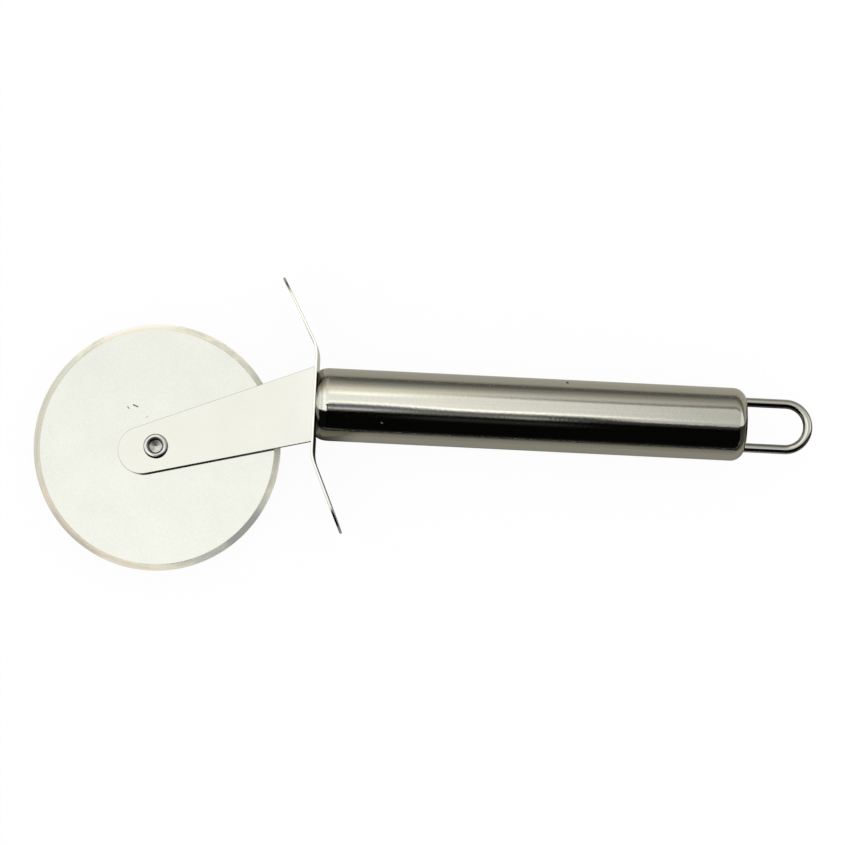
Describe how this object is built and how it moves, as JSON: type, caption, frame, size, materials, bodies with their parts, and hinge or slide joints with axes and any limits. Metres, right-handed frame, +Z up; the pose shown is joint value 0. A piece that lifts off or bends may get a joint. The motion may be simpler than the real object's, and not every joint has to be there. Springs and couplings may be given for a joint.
{
  "type": "pizza cutter",
  "caption": "Hand pizza cutter lying on its side: bevelled wheel spinning on a rivet behind one flat arm, bent thumb guard, round tube handle and wire hanging loop.",
  "frame": {"origin": "centre of the part's box at its base, on the surface that it lies on", "axes": "+X along the handle from the wheel to the hanging loop, +Y to the thumb side, where the guard leans forward, +Z up along the wheel's axle, out of the face that the picture shows"},
  "size_m": [0.2024, 0.0778, 0.019],
  "materials": {
    "wheel_steel": "satin polish, ground bevel at the rim",
    "sheet_steel": "polished sheet",
    "handle_steel": "polished, with fine lines along the tube",
    "wire_steel": "polished wire",
    "rivet_steel": "bright",
    "plain_steel": "plain"
  },
  "bodies": {
    "frame": {"pivot_rivet": "rivet_steel", "pivot_sleeve": "plain_steel", "near_washer": "plain_steel", "far_washer": "plain_steel", "wheel_arm": "sheet_steel", "thumb_guard": "sheet_steel", "front_cap": "handle_steel", "handle_tube": "handle_steel", "rear_cap": "handle_steel", "hanging_loop": "wire_steel"},
    "wheel": {"cutting_wheel": "wheel_steel"}
  },
  "joints": [
    {"name": "wheel_spin", "type": "hinge", "parent": "frame", "child": "wheel", "pos_m": [-0.06899, -0.00673, 0.007], "axis": [0, 0, 1], "continuous": true}
  ]
}
